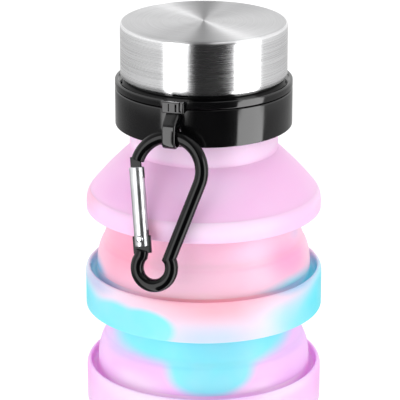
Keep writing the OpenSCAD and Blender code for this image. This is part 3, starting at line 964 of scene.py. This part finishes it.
# ---------------------------------------------------------------- CAD pieces that stay
def clear_silicone():
    """The sealing washer's pale, slightly cloudy silicone."""
    g = Graph("clear_silicone")
    cloud = g.noise(g.object_place(), 300.0, 2.0, 0.5)
    g.put(Base_Color=g.mix(g.ramp(cloud, 0.3, 0.7), srgb(216, 216, 210), srgb(236, 236, 232)),
          Roughness=g.ramp(cloud, 0.3, 0.7, 0.38, 0.5),
          Subsurface_Weight=0.2, Subsurface_Scale=0.002)
    return g


for node, look in (("neck_insert", black_inner), ("cap_seal", clear_silicone()),
                   ("gate_latch_pin", rivet_metal), ("gate_spring", wire_metal),
                   ("gate_plunger", wire_metal)):
    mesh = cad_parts[node].data
    if not mesh.materials:
        mesh.materials.append(look.material)
    for i in range(len(mesh.materials)):
        mesh.materials[i] = look.material


# ---------------------------------------------------------------- floor and light
def floor():
    """A plain white floor, which gloss doesn't reflect."""
    far = 6
    mesh = bpy.data.meshes.new("floor")
    mesh.from_pydata([(-far, -far, 0), (far, -far, 0), (far, far, 0), (-far, far, 0)], [],
                     [(0, 1, 2, 3)])
    obj = add_object("floor", mesh)
    look = Graph("floor_white")
    look.put(Base_Color=(0.85, 0.85, 0.85, 1), Roughness=0.9, Specular_IOR_Level=0.1,
             Emission_Color=(1, 1, 1, 1), Emission_Strength=0.35)
    paint(obj, look)
    obj.visible_glossy = False


# Brightness of the studio by angle, as (degrees from the front, brightness): the walls
# above the horizon, the walls under it, and the roof, whose "degrees" run from the far
# left at -180 to the far right at 180
WALLS = [(-180, 1.1), (-150, 1.1), (-80, 1.6), (-55, 1.7), (-51, 4.2), (-23, 4.2), (-19, 0.5),
         (-13, 0.02), (26, 0.02), (34, 0.12), (42, 0.3), (46, 0.5), (50, 5.8), (76, 5.8),
         (79, 1.5), (100, 1.35), (140, 1.1), (180, 1.1)]
LOW_WALLS = [(-180, 0.5), (-110, 0.3), (-57, 0.3), (-55, 4.2), (-29, 4.2), (-26, 0.2),
             (-12, 0.03), (28, 0.03), (40, 0.12), (44, 0.3), (45, 5.6), (82, 5.6), (84, 0.55),
             (110, 0.5), (180, 0.5)]
ROOF = [(-180, 0.8), (-80, 0.88), (-40, 0.85), (-22, 0.35), (12, 0.35), (28, 1.35), (50, 1.6),
        (110, 1.25), (180, 0.85)]
BRIGHTEST = 8.0  # a colour ramp holds 0 to 1, so the brightness is stored as a share of this


class World(Graph):
    """The world's nodes, with the same short calls as a material's."""

    def __init__(self, name):
        self.world = bpy.data.worlds.new(name)
        self.world.use_nodes = True
        self.tree = self.world.node_tree
        self.tree.nodes.clear()
        self.out = self.new("ShaderNodeOutputWorld")
        self.shader = self.new("ShaderNodeBackground")
        self.link(self.shader.outputs[0], self.out.inputs[0])

    def strip(self, value, stops):
        """Brightness from its stops, for a value that runs from 0 at -180 degrees to 1 at 180."""
        n = self.new("ShaderNodeValToRGB")
        ramp = n.color_ramp
        ramp.interpolation = "LINEAR"
        while len(ramp.elements) > 1:
            ramp.elements.remove(ramp.elements[-1])
        for i, (degrees, level) in enumerate(stops):
            at = (degrees + 180) / 360
            stop = ramp.elements.new(at) if i else ramp.elements[0]
            stop.position = at
            stop.color = (level / BRIGHTEST,) * 3 + (1,)
        self.link(value, n.inputs[0])
        return self.math("MULTIPLY", n.outputs[0], BRIGHTEST)

    def blend(self, factor, a, b):
        n = self.new("ShaderNodeMix", data_type="FLOAT")
        self.set(n.inputs[0], factor)
        self.set(n.inputs[2], a)
        self.set(n.inputs[3], b)
        return n.outputs[0]


def studio_world():
    """White to the camera. Reflections see a room with a soft box on the left, a brighter
    one on the right, a dark stretch of wall between them and a dim gap in the roof.
    Everything else is lit by a more even version of the same room."""
    g = World("studio")
    bpy.context.scene.world = g.world
    x, y, z = g.split(g.new("ShaderNodeTexCoord").outputs["Generated"])
    angle = g.math("ARCTAN2", x, g.math("MULTIPLY", y, -1.0))
    turn = g.math("ADD", g.math("DIVIDE", angle, 2 * math.pi), 0.5)
    walls = g.blend(g.ramp(z, -0.27, -0.12), g.strip(turn, LOW_WALLS), g.strip(turn, WALLS))
    side = g.math("ADD", g.math("MULTIPLY", x, 0.5), 0.5)
    # the roof is dimmer towards the front
    roof = g.math("MULTIPLY", g.strip(side, ROOF), g.ramp(y, -0.6, 0.0, 0.35, 1.0))
    room = g.blend(g.ramp(z, 0.45, 0.65), walls, roof)
    soft = g.math("ADD", g.math("MULTIPLY", g.math("MINIMUM", room, 1.6), 0.4), 0.55)
    ray = g.new("ShaderNodeLightPath")
    lit = g.blend(ray.outputs["Is Glossy Ray"], soft, room)
    g.link(g.blend(ray.outputs["Is Camera Ray"], lit, 1.0), g.shader.inputs["Strength"])
    g.shader.inputs["Color"].default_value = (1, 1, 1, 1)
    g.world.cycles.sampling_method = "MANUAL"
    g.world.cycles.sample_map_resolution = 1024


def lamp(name, place, aim, size, power):
    """A soft rectangular lamp that gloss doesn't reflect. Lengths are metres."""
    data = bpy.data.lights.new(name, "AREA")
    data.shape, data.size, data.size_y, data.energy = "RECTANGLE", *size, power
    obj = add_object(name, data)
    obj.location = place
    obj.rotation_euler = (Vector(aim) - Vector(place)).to_track_quat("-Z", "Y").to_euler()
    obj.visible_glossy = False


floor()
studio_world()
lamp("key_right", (0.55, -0.50, 0.62), (0, 0, 0.12), (0.35, 0.5), 0.8)
lamp("fill_left", (-0.42, -0.55, 0.40), (0, 0, 0.14), (0.5, 0.5), 0.75)

# ---------------------------------------------------------------- camera
CAMERA_DOWN = 18.77  # degrees that the camera looks down

camera_data = bpy.data.cameras.new("camera")
camera_data.lens, camera_data.sensor_width = 223.2, 36.0
camera_data.clip_start, camera_data.clip_end = 0.05, 30
camera = add_object("camera", camera_data)
camera.location = (-0.0012, -0.750, 0.3955)
camera.rotation_euler = (math.radians(90 - CAMERA_DOWN), 0, 0)
bpy.context.scene.camera = camera
bpy.context.scene.view_settings.view_transform = "Standard"
